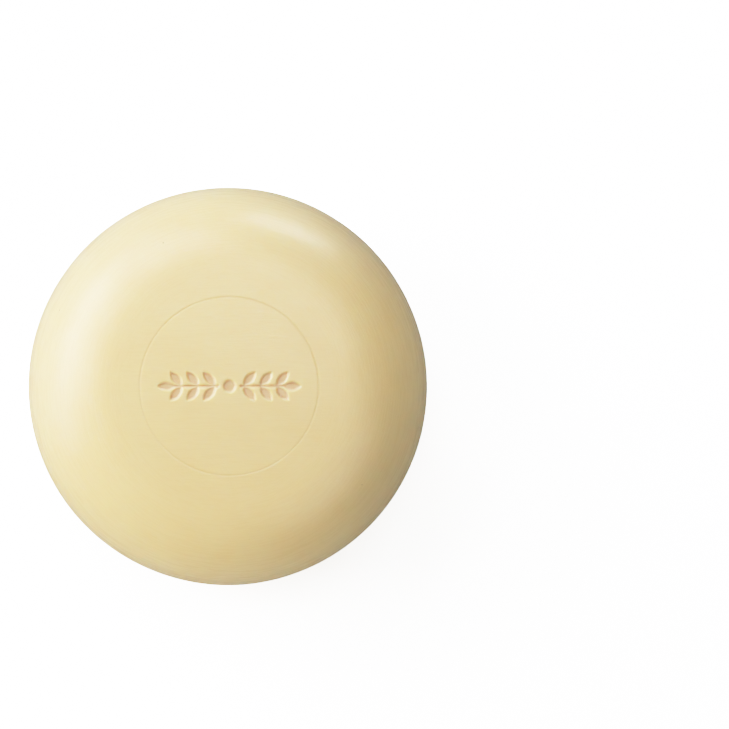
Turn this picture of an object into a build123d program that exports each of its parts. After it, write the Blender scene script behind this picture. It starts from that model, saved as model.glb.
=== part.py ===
from build123d import *
import os

# A round bar of shaving soap, pressed in one piece between two dies. Lengths are in millimetres.
# The bar lies on its plain back: z = 0 is the back's flat, +Z is the axis of the bar, and the
# stamped face is on top with its ornament upright towards +Y.

# The bar
DIAMETER = 63.5
THICKNESS = 33.0
EDGE_BAND = 1.2          # height of the upright band where the two dies met
FACE_RADIUS = 17.5       # the shoulder starts here
FACE_CROWN = 0.9         # how far the stamped face bulges inside that radius
FULLNESS = 0.56          # handle length of the shoulder curve: 0.55 is a quarter of an ellipse

# The fine ring that the die's round insert leaves
RING_RADIUS = 13.5
RING_WIDTH = 0.5
RING_DEPTH = 0.05

# The pressed ornament: a bud with a leafy sprig on each side
STAMP_DEPTH = 0.30
STAMP_FLARE = 0.18       # how far the ornament's walls lean outwards for each millimetre up
BUD_RADIUS = 1.0
STEM_START = 1.8
STEM_END = 8.6
STEM_WIDTH = 0.6
LEAF_ROOTS = (2.1, 4.6, 7.1)
LEAF_LENGTH = 2.85
LEAF_WIDTH = 1.4
LEAF_ANGLE = 50.0
TIP_LEAF_ROOT = 8.05

RADIUS = DIAMETER / 2
BAND_BOTTOM = (THICKNESS - EDGE_BAND) / 2
BAND_TOP = (THICKNESS + EDGE_BAND) / 2
FACE_EDGE = THICKNESS - FACE_CROWN
CUTTER_BOTTOM = THICKNESS - 2.0
CUTTER_TOP = THICKNESS + 0.5
CROWN_RADIUS = (FACE_RADIUS**2 + FACE_CROWN**2) / (2 * FACE_CROWN)


def body():
    """The plain bar: half its outline, turned about the axis."""
    reach = FULLNESS * (RADIUS - FACE_RADIUS)
    crown_slope = FACE_RADIUS / (CROWN_RADIUS - FACE_CROWN)
    outline = Polyline((0, THICKNESS), (0, 0), (FACE_RADIUS, 0))
    outline += Bezier(
        (FACE_RADIUS, 0),
        (FACE_RADIUS + reach, 0),
        (RADIUS, (1 - FULLNESS) * BAND_BOTTOM),
        (RADIUS, BAND_BOTTOM),
    )
    outline += Line((RADIUS, BAND_BOTTOM), (RADIUS, BAND_TOP))
    outline += Bezier(
        (RADIUS, BAND_TOP),
        (RADIUS, BAND_TOP + FULLNESS * (FACE_EDGE - BAND_TOP)),
        (FACE_RADIUS + reach, FACE_EDGE - crown_slope * reach),
        (FACE_RADIUS, FACE_EDGE),
    )
    outline += RadiusArc((0, THICKNESS), (FACE_RADIUS, FACE_EDGE), CROWN_RADIUS)
    return revolve(Plane.YZ * make_face(outline), Axis.Z)


def crown_height(radius):
    """Height of the stamped face at a distance from the axis, inside FACE_RADIUS."""
    return THICKNESS - CROWN_RADIUS + (CROWN_RADIUS**2 - radius**2) ** 0.5


def ring_groove():
    """A shallow round-bottomed groove, cut by a torus that dips into the face."""
    section_radius = ((RING_WIDTH / 2) ** 2 + RING_DEPTH**2) / (2 * RING_DEPTH)
    height = crown_height(RING_RADIUS) + section_radius - RING_DEPTH
    return Pos(0, 0, height) * Torus(RING_RADIUS, section_radius)


def leaf_outline(length, width):
    """A pointed leaf along +X from the origin, bounded by two arcs."""
    middle = length / 2
    blade = ThreePointArc((0, 0), (middle, width / 2), (length, 0))
    blade += ThreePointArc((length, 0), (middle, -width / 2), (0, 0))
    return make_face(blade)


def flared(outline_of):
    """Loft an outline from below the ornament's floor to above the face, widening with height."""
    grow = STAMP_FLARE * (CUTTER_TOP - CUTTER_BOTTOM)
    bottom = Pos(0, 0, CUTTER_BOTTOM) * outline_of(-grow / 2)
    top = Pos(0, 0, CUTTER_TOP) * outline_of(grow / 2)
    return loft([bottom, top], ruled=True)


def leaf(root, angle):
    """A leaf that grows from the stem at x = root, turned by an angle from +X."""
    def outline(grow):
        return Pos(-grow, 0) * leaf_outline(LEAF_LENGTH + 2 * grow, LEAF_WIDTH + 2 * grow)

    return Pos(root, 0, 0) * Rot(0, 0, angle) * flared(outline)


def stem():
    def outline(grow):
        length = STEM_END - STEM_START + 2 * grow
        return Pos((STEM_START + STEM_END) / 2, 0) * Rectangle(length, STEM_WIDTH + 2 * grow)

    return flared(outline)


def bud():
    return flared(lambda grow: Circle(BUD_RADIUS + grow))


def ornament():
    """The whole outline as a cutter: the bud, and a sprig to the right repeated to the left."""
    sprig = stem() + leaf(TIP_LEAF_ROOT, 0)
    for root in LEAF_ROOTS:
        sprig += leaf(root, LEAF_ANGLE)
        sprig += leaf(root, -LEAF_ANGLE)
    return bud() + sprig + mirror(sprig, Plane.YZ)


def stamp():
    """The ornament's cutter, with its floor at STAMP_DEPTH all over below the crowned face."""
    return ornament() - Pos(0, 0, -STAMP_DEPTH) * body()


soap_puck = body() - ring_groove() - stamp()

os.makedirs("parts", exist_ok=True)
export_step(soap_puck, "parts/soap_puck.step")
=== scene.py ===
import math

import bpy
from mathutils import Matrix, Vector, noise
from mathutils.geometry import delaunay_2d_cdt


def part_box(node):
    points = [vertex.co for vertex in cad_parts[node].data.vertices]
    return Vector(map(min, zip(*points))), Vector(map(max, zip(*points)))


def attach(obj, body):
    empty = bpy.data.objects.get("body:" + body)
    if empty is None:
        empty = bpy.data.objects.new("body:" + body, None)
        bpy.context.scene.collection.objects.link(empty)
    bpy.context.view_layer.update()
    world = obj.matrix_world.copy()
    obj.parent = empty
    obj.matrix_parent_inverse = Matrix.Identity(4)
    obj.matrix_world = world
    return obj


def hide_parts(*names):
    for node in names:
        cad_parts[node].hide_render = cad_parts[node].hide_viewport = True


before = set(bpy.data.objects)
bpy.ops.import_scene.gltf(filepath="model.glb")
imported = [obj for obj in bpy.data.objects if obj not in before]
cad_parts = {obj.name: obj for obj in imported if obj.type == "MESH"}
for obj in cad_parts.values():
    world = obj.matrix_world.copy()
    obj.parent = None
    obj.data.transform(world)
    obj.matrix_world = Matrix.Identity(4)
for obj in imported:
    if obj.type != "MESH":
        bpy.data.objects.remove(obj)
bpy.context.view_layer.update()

# A pressed puck of shaving soap, lying on its plain back with the stamped face up. The CAD gives its
# size; this script builds the soft-edged surface of the soap, its material, and a plain studio.
# Lengths are in millimetres until a mesh or a material is made in metres.

MM = 0.001
LOW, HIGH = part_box("soap_puck")
RADIUS = (HIGH[0] - LOW[0]) / 2 / MM
THICKNESS = (HIGH[2] - LOW[2]) / MM
EQUATOR = THICKNESS / 2

# Outline, in proportion to the puck
FACE_RADIUS = 0.551 * RADIUS         # the shoulder starts here
FACE_CROWN = 0.9                     # rise of the stamped face inside that radius
FULLNESS = 0.56                      # handle of the shoulder's Bezier curve
BAND_HEIGHT = 1.2                    # upright band round the equator

# Ring left by the die's round insert
RING_RADIUS = 0.4265 * RADIUS
RING_DEPTH = 0.045
RING_HALF_WIDTH = 0.15
INSERT_STEP = 0.008                  # the disc inside the ring sits this much lower
STEP_HALF_WIDTH = 0.3

# Pressed ornament
STAMP_DEPTH = 0.30
WALL_OUTSIDE = 0.12                  # the wall starts this far outside the outline
WALL_INSIDE = 0.36                   # and reaches the floor this far inside it
LIP_HEIGHT = 0.01                    # soap pushed up round the ornament
LIP_AWAY = 0.3
LIP_HALF_WIDTH = 0.16
BLEND = 0.22                         # how softly leaf and stem run together
BUD_RADIUS = 1.0
STEM_START = 1.8
STEM_END = 8.6
STEM_WIDTH = 0.6
LEAF_ROOTS = (2.1, 4.6, 7.1)
LEAF_LENGTH = 2.85
LEAF_WIDTH = 1.4
LEAF_ANGLE = 50.0
TIP_LEAF_ROOT = 8.05

# Parting line where the two dies met
FLASH_HEIGHT = 0.05
FLASH_HALF_WIDTH = 0.16

# Slow waviness of the soap's surface
WAVE_LENGTH = 13.0
WAVE_HEIGHT = 0.03
WAVE_FADE = 3.0                      # full height this far above the back

# Mesh
SPOKES = 384
FINE_STEP = 0.09                     # grid over the ornament
COARSE_STEP = 0.55                   # grid over the rest of the inner disc
ORNAMENT_HALF_LENGTH = 11.7
ORNAMENT_HALF_HEIGHT = 2.9
RING_STEP = 0.06
RING_ROWS = 12                       # rows each side of the ring's middle
DISC_RADIUS = RING_RADIUS - RING_ROWS * RING_STEP
GRID_GAP = 0.3                       # between the fine grid and the coarse one
FINE_EDGE_GAP = 0.1                  # between either grid and the disc's edge
COARSE_EDGE_GAP = 0.4
FACE_ROWS = 10
SHOULDER_ROWS = 44
BAND_ROWS = 12
BACK_SHOULDER_ROWS = 40
BACK_ROWS = 24
BACK_CAP_RADIUS = 0.6                # one face closes the back inside this


def smoothstep(low, high, value):
    t = min(max((value - low) / (high - low), 0.0), 1.0)
    return t * t * (3 - 2 * t)


def bump(value, half_width):
    return math.exp(-((value / half_width) ** 2))


def bezier(start, handle_a, handle_b, end, t):
    """Point (radius, height) on a cubic Bezier curve."""
    u = 1 - t
    weights = (u**3, 3 * u * u * t, 3 * u * t * t, t**3)
    points = (start, handle_a, handle_b, end)
    return tuple(sum(w * p[axis] for w, p in zip(weights, points)) for axis in (0, 1))


# ---------------------------------------------------------------- the outline

CROWN_RADIUS = (FACE_RADIUS**2 + FACE_CROWN**2) / (2 * FACE_CROWN)
BACK_EDGE = 1.03 * FACE_RADIUS       # the back's flat rows are spread inwards from here


def crown_height(radius):
    return THICKNESS - CROWN_RADIUS + math.sqrt(CROWN_RADIUS**2 - radius**2)


def ring_dip(radius):
    """How far the ring and the insert's step lower the face at a radius."""
    away = radius - RING_RADIUS
    groove = RING_DEPTH * bump(away, RING_HALF_WIDTH)
    step = INSERT_STEP * (1 - smoothstep(-STEP_HALF_WIDTH, STEP_HALF_WIDTH, away))
    return groove + step


def shoulder(face_edge, band_edge, slope, count):
    """Points from the edge of a face round to the band, the first one left out."""
    reach = FULLNESS * (RADIUS - FACE_RADIUS)
    rise = FULLNESS * (face_edge - band_edge)
    handle_a = (FACE_RADIUS + reach, face_edge - slope * reach)
    handle_b = (RADIUS, band_edge + rise)
    start = (FACE_RADIUS, face_edge)
    end = (RADIUS, band_edge)
    return [bezier(start, handle_a, handle_b, end, (i + 1) / count) for i in range(count)]


def spread(start, end, count):
    """count values from just after start up to end."""
    return [start + (end - start) * (i + 1) / count for i in range(count)]


def outline():
    """The puck's outline from the inner disc's edge, round the equator, to near the back's middle."""
    band_top = EQUATOR + BAND_HEIGHT / 2
    band_bottom = EQUATOR - BAND_HEIGHT / 2
    ring_end = RING_RADIUS + RING_ROWS * RING_STEP
    ring = [DISC_RADIUS + i * RING_STEP for i in range(2 * RING_ROWS + 1)]
    face = ring + spread(ring_end, FACE_RADIUS, FACE_ROWS)
    rows = [(radius, crown_height(radius) - ring_dip(radius)) for radius in face]
    slope = FACE_RADIUS / (CROWN_RADIUS - FACE_CROWN)
    rows += shoulder(THICKNESS - FACE_CROWN, band_top, slope, SHOULDER_ROWS)
    for height in spread(band_top, band_bottom, BAND_ROWS):
        rows.append((RADIUS + FLASH_HEIGHT * bump(height - EQUATOR, FLASH_HALF_WIDTH), height))
    back = shoulder(0.0, band_bottom, 0.0, BACK_SHOULDER_ROWS)
    rows += reversed(back[:-1])
    rows += [(radius, 0.0) for radius in spread(BACK_EDGE, BACK_CAP_RADIUS, BACK_ROWS)]
    return rows


def height_at(radius):
    """Height of the upper surface at a radius on the shoulder."""
    return next(height for row_radius, height in outline() if row_radius >= radius)


# ---------------------------------------------------------------- the ornament


def leaf_distance(x, y, root, angle):
    """Signed distance to a pointed leaf that grows from (root, 0) at an angle."""
    turn = math.radians(angle)
    along = (x - root) * math.cos(turn) + y * math.sin(turn) - LEAF_LENGTH / 2
    across = abs(y * math.cos(turn) - (x - root) * math.sin(turn))
    along = abs(along)
    half_length = LEAF_LENGTH / 2
    half_width = LEAF_WIDTH / 2
    arc = (half_length**2 + half_width**2) / (2 * half_width)
    centre = arc - half_width
    if (along - half_length) * centre > across * half_length:
        return math.hypot(along - half_length, across)
    return math.hypot(along, across + centre) - arc


def stem_distance(x, y):
    nearest = min(max(x, STEM_START), STEM_END)
    return math.hypot(x - nearest, y) - STEM_WIDTH / 2


def joined(a, b):
    """Smooth union of two signed distances."""
    h = max(BLEND - abs(a - b), 0.0) / BLEND
    return min(a, b) - h * h * BLEND / 4


def ornament_distance(x, y):
    """Signed distance to the bud and its two sprigs; negative inside."""
    x = abs(x)
    y = abs(y)
    nearest = joined(math.hypot(x, y) - BUD_RADIUS, stem_distance(x, y))
    nearest = joined(nearest, leaf_distance(x, y, TIP_LEAF_ROOT, 0.0))
    for root in LEAF_ROOTS:
        nearest = joined(nearest, leaf_distance(x, y, root, LEAF_ANGLE))
    return nearest


def pressed(x, y):
    """How deeply a point is pressed, from 0 on the face to 1 on the floor."""
    return 1 - smoothstep(-WALL_INSIDE, WALL_OUTSIDE, ornament_distance(x, y))


def stamp_dip(x, y):
    lip = LIP_HEIGHT * bump(ornament_distance(x, y) - LIP_AWAY, LIP_HALF_WIDTH)
    return STAMP_DEPTH * pressed(x, y) - lip


# ---------------------------------------------------------------- the mesh


def over_ornament(x, y):
    return abs(x) < ORNAMENT_HALF_LENGTH and abs(y) < ORNAMENT_HALF_HEIGHT


def disc_points():
    """Flat points inside the disc's edge: a fine grid over the ornament, a coarse one elsewhere."""
    points = []
    columns = round(ORNAMENT_HALF_LENGTH / FINE_STEP)
    rows = round(ORNAMENT_HALF_HEIGHT / FINE_STEP)
    for i in range(-columns, columns + 1):
        for j in range(-rows, rows + 1):
            points.append((i * FINE_STEP, j * FINE_STEP))
    row_step = COARSE_STEP * math.sqrt(3) / 2
    columns = int(DISC_RADIUS / COARSE_STEP) + 1
    rows = int(DISC_RADIUS / row_step) + 1
    for j in range(-rows, rows + 1):
        for i in range(-columns, columns + 1):
            x = (i + 0.5 * (j % 2)) * COARSE_STEP
            y = j * row_step
            inside = math.hypot(x, y) < DISC_RADIUS - COARSE_EDGE_GAP
            if inside and not over_ornament(abs(x) - GRID_GAP, abs(y) - GRID_GAP):
                points.append((x, y))
    return [point for point in points if math.hypot(*point) < DISC_RADIUS - FINE_EDGE_GAP]


def spoke(radius, index):
    turn = 2 * math.pi * index / SPOKES
    return radius * math.cos(turn), radius * math.sin(turn)


def disc(vertices, faces):
    """Add the inner disc; its first SPOKES vertices are its edge."""
    edge = [spoke(DISC_RADIUS, i) for i in range(SPOKES)]
    flat = [Vector(point) for point in edge + disc_points()]
    found, _, triangles, _, _, _ = delaunay_2d_cdt(flat, [], [], 0, 1e-6)
    for point in found:
        height = crown_height(point.length) - ring_dip(point.length)
        dip = stamp_dip(*point) if over_ornament(*point) else 0.0
        vertices.append((point.x, point.y, height - dip))
    faces.extend(tuple(triangle) for triangle in triangles)


def skirt(vertices, faces):
    """Add everything outside the disc: a ring of vertices for each point of the outline."""
    previous = list(range(SPOKES))
    for radius, height in outline()[1:]:
        start = len(vertices)
        for i in range(SPOKES):
            vertices.append((*spoke(radius, i), height))
        current = list(range(start, start + SPOKES))
        for i in range(SPOKES):
            j = (i + 1) % SPOKES
            faces.append((previous[i], current[i], current[j], previous[j]))
        previous = current
    faces.append(tuple(reversed(previous)))


def wave(point):
    """Slow waviness, fading to nothing on the flat back so that the puck still sits level."""
    share = smoothstep(0.0, WAVE_FADE, point[2])
    return WAVE_HEIGHT * share * noise.noise(Vector(point) / WAVE_LENGTH)


def puck_mesh():
    vertices = []
    faces = []
    disc(vertices, faces)
    skirt(vertices, faces)
    mesh = bpy.data.meshes.new("soap_puck_surface")
    mesh.from_pydata(vertices, [], faces)
    normals = [vertex.normal.copy() for vertex in mesh.vertices]
    # how deeply the ornament is pressed and where the ring's groove runs, which the material uses for
    # painted shade
    depth = mesh.attributes.new("pressed", "FLOAT", "POINT")
    groove = mesh.attributes.new("groove", "FLOAT", "POINT")
    for index, vertex in enumerate(mesh.vertices):
        x, y, z = vertices[index]
        if z > EQUATOR:
            depth.data[index].value = pressed(x, y) if over_ornament(x, y) else 0.0
            groove.data[index].value = bump(math.hypot(x, y) - RING_RADIUS, RING_HALF_WIDTH)
        vertex.co = (vertex.co + wave(vertices[index]) * normals[index]) * MM
    mesh.shade_smooth()
    mesh.update()
    return mesh


def build_puck():
    puck = bpy.data.objects.new("pressed_soap", puck_mesh())
    bpy.context.scene.collection.objects.link(puck)
    puck.data.materials.append(soap_material())
    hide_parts("soap_puck")
    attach(puck, "root")


# ---------------------------------------------------------------- materials


class Graph:
    """The node tree of a new material, filled a node at a time."""

    def __init__(self, name):
        self.material = bpy.data.materials.new(name)
        self.material.use_nodes = True
        self.tree = self.material.node_tree
        self.shader = self.tree.nodes["Principled BSDF"]

    def node(self, kind, inputs, **settings):
        """Add a node; each input takes a socket to link or a value to set."""
        node = self.tree.nodes.new("ShaderNode" + kind)
        for name, value in settings.items():
            setattr(node, name, value)
        self.feed(node, inputs)
        return node.outputs

    def feed(self, node, inputs):
        for name, value in inputs.items():
            if isinstance(value, bpy.types.NodeSocket):
                self.tree.links.new(value, node.inputs[name])
            else:
                node.inputs[name].default_value = value

    def place(self, stretch=(1, 1, 1)):
        """Object coordinates in millimetres, stretched along the axes."""
        coordinates = self.node("TexCoord", {})["Object"]
        scale = [1 / (MM * length) for length in stretch]
        return self.node("Mapping", {"Vector": coordinates, "Scale": scale})["Vector"]

    def noise(self, size, detail=2.0, stretch=(1, 1, 1)):
        """Noise whose blotches are about size millimetres across."""
        inputs = {"Vector": self.place(stretch), "Scale": 1 / size, "Detail": detail}
        return self.node("TexNoise", inputs)["Fac"]

    def math(self, operation, a, b=0.0, c=0.0):
        return self.node("Math", {0: a, 1: b, 2: c}, operation=operation)["Value"]

    def vector(self, operation, a, b=(0, 0, 0), **inputs):
        return self.node("VectorMath", {0: a, 1: b, **inputs}, operation=operation)

    def ramp(self, value, low, high, start=0.0, end=1.0):
        """Take value from low..high to start..end, smoothly and without overshoot."""
        inputs = {"Value": value, "From Min": low, "From Max": high, "To Min": start, "To Max": end}
        return self.node("MapRange", inputs, interpolation_type="SMOOTHSTEP")["Result"]

    def mix(self, factor, a, b):
        """Blend two colours; inputs 6 and 7 and output 2 are the node's colour sockets."""
        inputs = {"Factor": factor, 6: a, 7: b}
        return self.node("Mix", inputs, data_type="RGBA")[2]

    def bumped(self, height, depth, normal=None):
        """Raise the surface by height times depth, a length in millimetres."""
        inputs = {"Height": height, "Distance": depth * MM, "Strength": 1.0}
        if normal is not None:
            inputs["Normal"] = normal
        return self.node("Bump", inputs)["Normal"]


# Noise runs from 0 to 1: its middle, and two parts of its range that most of its values fall in
MIDDLE = 0.5
NARROW = (0.35, 0.65)
WIDE = (0.3, 0.7)

# Colours of the soap, and the shade painted into its hollows
IVORY_WARM = (0.850, 0.647, 0.325, 1)
IVORY_PALE = (0.858, 0.667, 0.345, 1)
IVORY_DULL = (0.815, 0.624, 0.310, 1)
# painted shade: the tan darkens the floors of the pressed ornament, where shade falls
PRESSED_SHADE_TAN = (0.80, 0.570, 0.320, 1)
# painted shade: the olive darkens the ring's groove
GROOVE_SHADE_OLIVE = (0.75, 0.575, 0.27, 1)
# the specks' own brown, also used as painted shade in the pinholes
SPECK_AND_PIT_SHADE_BROWN = (0.50, 0.36, 0.17, 1)
CLOUD_SIZE = 9.0                     # blotches of warm and pale ivory
DULL_SHARE = 0.3                     # how far a streak goes towards the dull ivory
# how far the groove's painted shade goes towards the olive
GROOVE_SHADE_SHARE = 0.4
# how far pressed the painted shade starts and reaches full strength
TAN_START = 0.05                     # pressed this far, 0 to 1, the tan begins to show
TAN_END = 0.9                        # and it shows in full
# how far the pinholes are darkened towards the brown: painted shade
HOLE_SHADE = 0.5

# Streaks that the press leaves
STREAK_WIDTH = 0.22
STREAK_STRETCH = 16                  # length of a streak on the face, in widths
STREAK_DEPTH = 400                   # and along Z, so that the crown doesn't break them up
STREAKS_ROUND = 6                    # how often the shoulder's streaks break off, per radian
STRAIGHT_WITHIN = 0.7 * FACE_RADIUS  # only the face's streaks show inside this radius
ROUND_BEYOND = 1.1 * FACE_RADIUS     # and only the shoulder's outside this one
STREAK_PATCH = 5.0                   # patches of faint and strong streaks
FAINTEST = 0.3
STRONGEST = 1.3
STREAK_RELIEF = 0.025

# Pinholes
HOLE_SPACING = 3.2
HOLE_CHANCE = 0.07                   # the share of places that hold one
HOLE_RADIUS = 0.07                   # of the largest, in spacings
HOLE_FLOOR = 0.5                     # the floor's radius over the hole's
HOLE_RELIEF = -0.06

# Specks: x, y and radius
SPECKS = ((-10.1, 21.9, 0.16), (-26.1, 11.7, 0.12), (20.4, -15.2, 0.10))
SPECK_CORE = 0.4                     # radius of the darkest part over the speck's
SPECK_TALL = 10                      # height over width, enough to meet the surface for certain

# Finer and coarser relief
GRAIN_SIZE = 0.3
GRAIN_RELIEF = 0.012
LUMP_SIZE = 2.2
LUMP_RELIEF = 0.010

# Sheen
SMOOTH = 0.38                        # roughness at either end of the streaks' range
ROUGH = 0.52
SMEAR_SIZE = 4.0
SMEAR_STRETCH = 3                    # along X, in sizes
SMEAR_SMOOTH = -0.04                 # what a smear adds to the roughness
SMEAR_ROUGH = 0.05
COAT = 0.5                           # a thin polished skin over the soap
COAT_SMOOTH = 0.22
COAT_ROUGH = 0.34
INDEX = 1.47                         # of refraction
SCATTER = 1.4                        # how far red light spreads below the surface
SCATTER_COLOURS = (1.0, 0.75, 0.5)


def streaks(graph):
    """Fine streaks, 0 to 1: along X on the stamped face, round the axis on the shoulder and sides."""
    along = graph.noise(STREAK_WIDTH, stretch=(STREAK_STRETCH, 1, STREAK_DEPTH))
    flat = graph.vector("MULTIPLY", graph.place(), (1, 1, 0))["Vector"]
    radius = graph.vector("LENGTH", flat)["Value"]
    height = graph.node("SeparateXYZ", {"Vector": graph.place()})["Z"]
    outward = graph.node("CombineXYZ", {"Z": graph.math("DIVIDE", radius, STREAK_WIDTH)})["Vector"]
    heading = graph.vector("NORMALIZE", flat)["Vector"]
    heading = graph.vector("SCALE", heading, Scale=STREAKS_ROUND)["Vector"]
    inputs = {"Vector": graph.vector("ADD", heading, outward)["Vector"], "Scale": 1.0, "Detail": 2.0}
    inputs["W"] = graph.math("DIVIDE", height, STREAK_WIDTH)
    around = graph.node("TexNoise", inputs, noise_dimensions="4D")["Fac"]
    share = graph.ramp(radius, STRAIGHT_WITHIN, ROUND_BEYOND)
    grain = graph.math("MULTIPLY_ADD", graph.math("SUBTRACT", around, along), share, along)
    strength = graph.ramp(graph.noise(STREAK_PATCH), *WIDE, FAINTEST, STRONGEST)
    return graph.math("MULTIPLY_ADD", graph.math("SUBTRACT", grain, MIDDLE), strength, MIDDLE)


def pits(graph):
    """A few pinholes where air was caught: 1 inside one, 0 elsewhere."""
    spots = {"Vector": graph.place(), "Scale": 1 / HOLE_SPACING, "Randomness": 1.0}
    cells = graph.node("TexVoronoi", spots)
    chance = graph.node("SeparateColor", {"Color": cells["Color"]})["Red"]
    radius = graph.ramp(chance, 1 - HOLE_CHANCE, 1.0, 0.0, HOLE_RADIUS)
    floor = graph.math("MULTIPLY", radius, HOLE_FLOOR)
    edge = {"Value": cells["Distance"], "From Min": radius, "From Max": floor}
    return graph.node("MapRange", edge)["Result"]


def specks(graph):
    """The few grains of darker matter on the shoulder: 1 inside one, 0 elsewhere."""
    inside = 0.0
    for x, y, radius in SPECKS:
        spot = (x, y, height_at(math.hypot(x, y)) / SPECK_TALL)
        away = graph.vector("DISTANCE", graph.place((1, 1, SPECK_TALL)), spot)["Value"]
        inside = graph.math("MAXIMUM", inside, graph.ramp(away, SPECK_CORE * radius, radius, 1.0, 0.0))
    return inside


def soap_colour(graph, grain, holes):
    """Clouded ivory, duller along the streaks, with painted shade in the ring's groove, on the pressed
    ornament's floors and in the pinholes, and dark specks.
    """
    depth = graph.node("Attribute", {}, attribute_name="pressed")["Fac"]
    groove = graph.node("Attribute", {}, attribute_name="groove")["Fac"]
    cloud = graph.noise(CLOUD_SIZE, detail=3.0)
    colour = graph.mix(graph.ramp(cloud, *NARROW), IVORY_WARM, IVORY_PALE)
    colour = graph.mix(graph.ramp(grain, *NARROW, 0.0, DULL_SHARE), colour, IVORY_DULL)
    # painted shade in the ring's groove
    colour = graph.mix(graph.ramp(groove, 0.0, 1.0, 0.0, GROOVE_SHADE_SHARE), colour, GROOVE_SHADE_OLIVE)
    # painted shade on the floors of the pressed ornament
    colour = graph.mix(graph.ramp(depth, TAN_START, TAN_END), colour, PRESSED_SHADE_TAN)
    # painted shade in the pinholes
    colour = graph.mix(graph.math("MULTIPLY", holes, HOLE_SHADE), colour, SPECK_AND_PIT_SHADE_BROWN)
    return graph.mix(specks(graph), colour, SPECK_AND_PIT_SHADE_BROWN)


def soap_relief(graph, grain, holes):
    """The surface normal with grain, streaks, lumps and pinholes."""
    normal = graph.bumped(graph.noise(GRAIN_SIZE), GRAIN_RELIEF)
    normal = graph.bumped(grain, STREAK_RELIEF, normal)
    normal = graph.bumped(graph.noise(LUMP_SIZE), LUMP_RELIEF, normal)
    return graph.bumped(holes, HOLE_RELIEF, normal)


def soap_material():
    graph = Graph("ivory_soap")
    grain = streaks(graph)
    holes = pits(graph)
    smear = graph.noise(SMEAR_SIZE, stretch=(SMEAR_STRETCH, 1, 1))
    smear = graph.ramp(smear, *WIDE, SMEAR_SMOOTH, SMEAR_ROUGH)
    finish = {
        "Base Color": soap_colour(graph, grain, holes),
        "Normal": soap_relief(graph, grain, holes),
        "Roughness": graph.math("ADD", graph.ramp(grain, *WIDE, SMOOTH, ROUGH), smear),
        "IOR": INDEX,
        "Specular IOR Level": 0.5,
        "Coat Weight": COAT,
        "Coat Roughness": graph.ramp(grain, *WIDE, COAT_SMOOTH, COAT_ROUGH),
        "Subsurface Weight": 1.0,
        "Subsurface Radius": SCATTER_COLOURS,
        "Subsurface Scale": SCATTER * MM,
    }
    graph.feed(graph.shader, finish)
    return graph.material


# The floor: how bright it looks to the camera, and how much light it throws back at the puck
FLOOR_SEEN = (2.6, 2.6, 2.6, 1)
FLOOR_BOUNCE = (0.3, 0.3, 0.3, 1)
GLOW_NEAR = 0.5
GLOW_FAR = 3.0
GLOW_START = 0.1                     # metres from the puck
GLOW_END = 0.7


def floor_material():
    """A white sheet that fades into the backdrop and throws only some light up at the puck."""
    graph = Graph("pale_floor")
    seen = graph.node("LightPath", {})["Is Camera Ray"]
    place = graph.node("NewGeometry", {})["Position"]
    away = graph.vector("LENGTH", place)["Value"]
    glow = graph.ramp(away, GLOW_START, GLOW_END, GLOW_NEAR, GLOW_FAR)
    finish = {
        "Base Color": graph.mix(seen, FLOOR_BOUNCE, FLOOR_SEEN),
        "Roughness": 0.8,
        "Emission Color": (1, 1, 1, 1),
        "Emission Strength": graph.math("MULTIPLY", seen, glow),
    }
    graph.feed(graph.shader, finish)
    return graph.material


# ---------------------------------------------------------------- studio


FLOOR_REACH = 1.5                    # metres from the middle to each side


def build_floor():
    mesh = bpy.data.meshes.new("floor_sheet")
    corners = [(FLOOR_REACH * x, FLOOR_REACH * y, 0) for x, y in ((-1, -1), (1, -1), (1, 1), (-1, 1))]
    mesh.from_pydata(corners, [], [(0, 1, 2, 3)])
    floor = bpy.data.objects.new("floor", mesh)
    bpy.context.scene.collection.objects.link(floor)
    floor.data.materials.append(floor_material())


LIGHT_DISTANCE = 0.6                 # metres
LIGHT_AIM = Vector((0, 0, 0.016))    # the puck's middle
WHITE = (1, 1, 1)
COOL = (0.62, 0.92, 1.46)


def softbox(name, polar, azimuth, width, height, power, tint=WHITE, only=None):
    """
    A rectangular soft light. Its polar angle is from straight up and its azimuth from +X, in degrees.
    A "fill" light leaves no reflection, and a "sheen" light gives nothing but its reflection.
    """
    tilt = math.radians(polar)
    turn = math.radians(azimuth)
    away = Vector((math.sin(tilt) * math.cos(turn), math.sin(tilt) * math.sin(turn), math.cos(tilt)))
    light = bpy.data.lights.new(name, "AREA")
    light.shape = "RECTANGLE"
    light.size = width
    light.size_y = height
    light.energy = power
    light.color = tint
    holder = bpy.data.objects.new(name, light)
    holder.location = LIGHT_AIM + away * LIGHT_DISTANCE
    holder.rotation_euler = (-away).to_track_quat("-Z", "Y").to_euler()
    holder.visible_diffuse = only != "sheen"
    holder.visible_glossy = only != "fill"
    bpy.context.scene.collection.objects.link(holder)


def build_lights():
    """Key lights on the left, weaker ones behind and above, fill low down all round, and sheens."""
    softbox("key_high", 55, 168, 0.35, 0.45, 2.2)
    softbox("key_low", 66, 150, 0.30, 0.30, 1.3)
    softbox("sheen_low", 69, 132, 0.40, 0.25, 0.7, COOL, only="sheen")
    softbox("behind", 50, 110, 0.30, 0.30, 1.4)
    softbox("above", 20, 60, 0.35, 0.35, 1.4)
    softbox("fill_back", 80, 128, 0.30, 0.15, 1.0, COOL, only="fill")
    softbox("fill_near", 80, 230, 0.30, 0.15, 2.05, only="fill")
    softbox("fill_right", 80, 322, 0.30, 0.15, 0.85, only="fill")
    softbox("sheen_left", 76, 182, 0.40, 0.30, 0.9, COOL, only="sheen")
    softbox("sheen_right", 40, 318, 0.40, 0.40, 0.9, only="sheen")
    softbox("sheen_edge", 79, 70, 0.32, 0.20, 1.75, only="sheen")


WORLD_LIGHT = 0.02
WORLD_SEEN = 3.0


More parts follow.
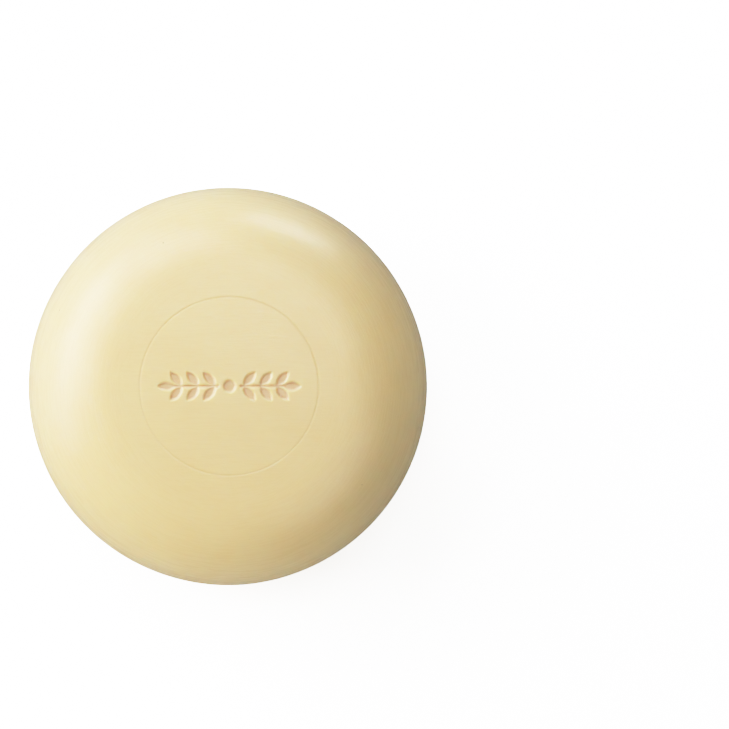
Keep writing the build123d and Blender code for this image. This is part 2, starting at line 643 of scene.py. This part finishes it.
def build_world():
    """A pale backdrop for the camera that adds hardly any light of its own."""
    world = bpy.data.worlds.new("studio")
    world.use_nodes = True
    nodes = world.node_tree.nodes
    path = nodes.new("ShaderNodeLightPath")
    level = nodes.new("ShaderNodeMapRange")
    level.inputs["To Min"].default_value = WORLD_LIGHT
    level.inputs["To Max"].default_value = WORLD_SEEN
    world.node_tree.links.new(path.outputs["Is Camera Ray"], level.inputs["Value"])
    world.node_tree.links.new(level.outputs["Result"], nodes["Background"].inputs["Strength"])
    nodes["Background"].inputs["Color"].default_value = (1, 1, 1, 1)
    bpy.context.scene.world = world


ROLL_OFF = 0.45                      # light above this level is rolled off
BRIGHTEST = 4.0
CURVE_LIGHTS = (0.2, ROLL_OFF, 0.7, 1.0, 1.4, 2.0, 2.8)


def film_response(light):
    """Straight up to the roll-off, then easing towards white as a camera does."""
    if light < ROLL_OFF:
        return light
    room = 1 - ROLL_OFF
    return ROLL_OFF + room * (1 - math.exp(-(light - ROLL_OFF) / room))


def build_response():
    settings = bpy.context.scene.view_settings
    settings.view_transform = "Standard"
    settings.use_curve_mapping = True
    mapping = settings.curve_mapping
    mapping.white_level = (BRIGHTEST, BRIGHTEST, BRIGHTEST)
    curve = mapping.curves[3]
    curve.points[-1].location = (1.0, film_response(BRIGHTEST))
    for light in CURVE_LIGHTS:
        curve.points.new(light / BRIGHTEST, film_response(light))
    mapping.update()


SENSOR = 36                          # mm wide
LENS = 88.7                          # mm
CAMERA_ABOVE_EQUATOR = 0.2892        # metres
PUCK_LEFT_OF_MIDDLE = 4.30           # degrees
PUCK_BELOW_MIDDLE = 0.69
NEAREST = 0.01                       # metres; anything nearer isn't drawn


def build_camera():
    """Look straight down the puck's axis, then turn so that the puck sits left of the middle."""
    data = bpy.data.cameras.new("camera")
    data.lens = LENS
    data.sensor_width = SENSOR
    data.clip_start = NEAREST
    camera = bpy.data.objects.new("camera", data)
    camera.location = (0, 0, EQUATOR * MM + CAMERA_ABOVE_EQUATOR)
    camera.rotation_euler = (math.radians(PUCK_BELOW_MIDDLE), -math.radians(PUCK_LEFT_OF_MIDDLE), 0)
    bpy.context.scene.collection.objects.link(camera)
    bpy.context.scene.camera = camera


build_puck()
build_floor()
build_lights()
build_world()
build_camera()
build_response()
